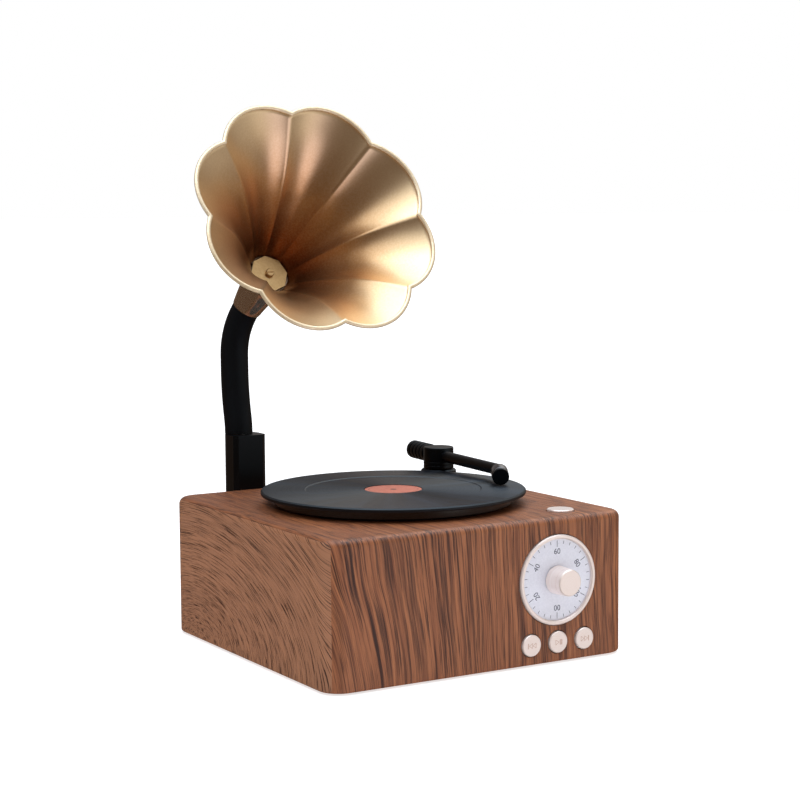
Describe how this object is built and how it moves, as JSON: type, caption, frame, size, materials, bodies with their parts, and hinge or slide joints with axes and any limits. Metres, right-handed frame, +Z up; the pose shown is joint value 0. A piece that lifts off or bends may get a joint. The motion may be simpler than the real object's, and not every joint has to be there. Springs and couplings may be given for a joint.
{
  "type": "gramophone-style desktop horn loudspeaker",
  "caption": "Small wooden desktop loudspeaker shaped like a gramophone: fluted metal horn on a bent neck, turning record, tonearm, tuning dial and push buttons.",
  "frame": {"origin": "middle of the cabinet's flat underside; the rubber feet stand out 0.8 mm below it", "axes": "+Z up, +X to the right seen from the front, -Y out of the front with the dial and the horn's mouth"},
  "size_m": [0.1693, 0.1902, 0.2588],
  "materials": {
    "walnut": "satin",
    "pine": "matte",
    "black_rubber": "matte",
    "black_plastic": "satin",
    "record_vinyl": "glossy",
    "platter_plastic": "glossy",
    "label_paper": "matte",
    "dial_print": "satin",
    "rose_metal": "satin",
    "bronze_metal": "satin",
    "pale_gold_metal": "polished",
    "tan_metal": "satin",
    "silver_metal": "satin",
    "steel": "brushed",
    "turned_brass": "satin",
    "black_metal": "satin",
    "circuit_board": "satin",
    "switch_plastic": "matte",
    "battery_wrap": "satin",
    "grey_plastic": "matte",
    "cone_paper": "matte",
    "ferrite": "matte"
  },
  "bodies": {
    "cabinet": {"cabinet_shell": "walnut", "base_panel": "black_plastic", "corner_blocks": "pine", "feet": "black_rubber", "wood_screws": "steel", "small_screws": "steel", "speaker_grille": "black_metal", "speaker_basket": "black_metal", "speaker_magnet": "ferrite", "speaker_cone": "cone_paper", "amplifier_board": "circuit_board", "charging_socket": "steel", "aux_socket": "switch_plastic", "socket_plate": "black_plastic", "battery_pack": "battery_wrap", "battery_strap": "grey_plastic", "button_board": "circuit_board", "board_spacers": "grey_plastic", "push_switches": "switch_plastic", "top_switch_board": "circuit_board", "potentiometer": "steel", "potentiometer_nut": "steel", "dial_bezel": "rose_metal", "dial_plate": "dial_print", "bearing_bush": "turned_brass", "drive_motor": "steel", "motor_bracket": "steel", "motor_standoffs": "grey_plastic", "drive_belt": "black_rubber", "tonearm_base": "black_plastic", "horn_post": "black_plastic", "socket_bush": "steel", "neck_grub_screw": "steel"},
    "knob": {"tuning_knob": "rose_metal", "potentiometer_shaft": "steel"},
    "skip_back_key": {"skip_back_button": "rose_metal"},
    "play_key": {"play_button": "rose_metal"},
    "skip_forward_key": {"skip_forward_button": "rose_metal"},
    "power_key": {"power_button": "rose_metal"},
    "turntable": {"platter": "platter_plastic", "record": "record_vinyl", "record_label": "label_paper", "platter_axle": "steel", "platter_pulley": "grey_plastic"},
    "motor_spindle": {"motor_pulley": "turned_brass", "motor_shaft": "steel"},
    "tonearm": {"tonearm_drum": "black_plastic", "tonearm_tube": "black_plastic", "counterweight": "black_plastic", "headshell": "silver_metal", "headshell_cap": "black_plastic", "tonearm_axle": "steel", "tonearm_nut": "steel"},
    "horn_head": {"neck_plug": "steel", "neck_tube": "black_rubber", "horn_collar": "tan_metal", "horn_bell": "bronze_metal", "horn_rim": "pale_gold_metal", "throat_plate": "pale_gold_metal", "throat_screw": "pale_gold_metal"}
  },
  "joints": [
    {"name": "platter_spin", "type": "hinge", "parent": "cabinet", "child": "turntable", "pos_m": [0, 0, 0.067], "axis": [0, 0, 1], "continuous": true},
    {"name": "motor_spin", "type": "hinge", "parent": "cabinet", "child": "motor_spindle", "pos_m": [-0.042, 0, 0.053], "axis": [0, 0, 1], "continuous": true},
    {"name": "tonearm_swing", "type": "hinge", "parent": "cabinet", "child": "tonearm", "pos_m": [0.059, 0.053, 0.073], "axis": [0, 0, 1], "range_deg": [-22, 15]},
    {"name": "knob_turn", "type": "hinge", "parent": "cabinet", "child": "knob", "pos_m": [0.0396, -0.08, 0.0383], "axis": [0, -1, 0], "range_deg": [-150, 150]},
    {"name": "skip_back_press", "type": "slide", "parent": "cabinet", "child": "skip_back_key", "axis": [0, 1, 0], "range_m": [0, 0.0008], "stiffness_N_per_m": 600, "springref_m": -0.0006},
    {"name": "play_press", "type": "slide", "parent": "cabinet", "child": "play_key", "axis": [0, 1, 0], "range_m": [0, 0.0008], "stiffness_N_per_m": 600, "springref_m": -0.0006},
    {"name": "skip_forward_press", "type": "slide", "parent": "cabinet", "child": "skip_forward_key", "axis": [0, 1, 0], "range_m": [0, 0.0008], "stiffness_N_per_m": 600, "springref_m": -0.0006},
    {"name": "power_press", "type": "slide", "parent": "cabinet", "child": "power_key", "axis": [0, 0, -1], "range_m": [0, 0.0008], "stiffness_N_per_m": 600, "springref_m": -0.0006},
    {"name": "horn_swivel", "type": "hinge", "parent": "cabinet", "child": "horn_head", "pos_m": [-0.0372, 0.0913, 0.094], "axis": [0, 0, 1], "range_deg": [-45, 45]}
  ],
  "couplings": [
    {"joint": "motor_spin", "follows": "platter_spin", "ratio": 4.955}
  ]
}
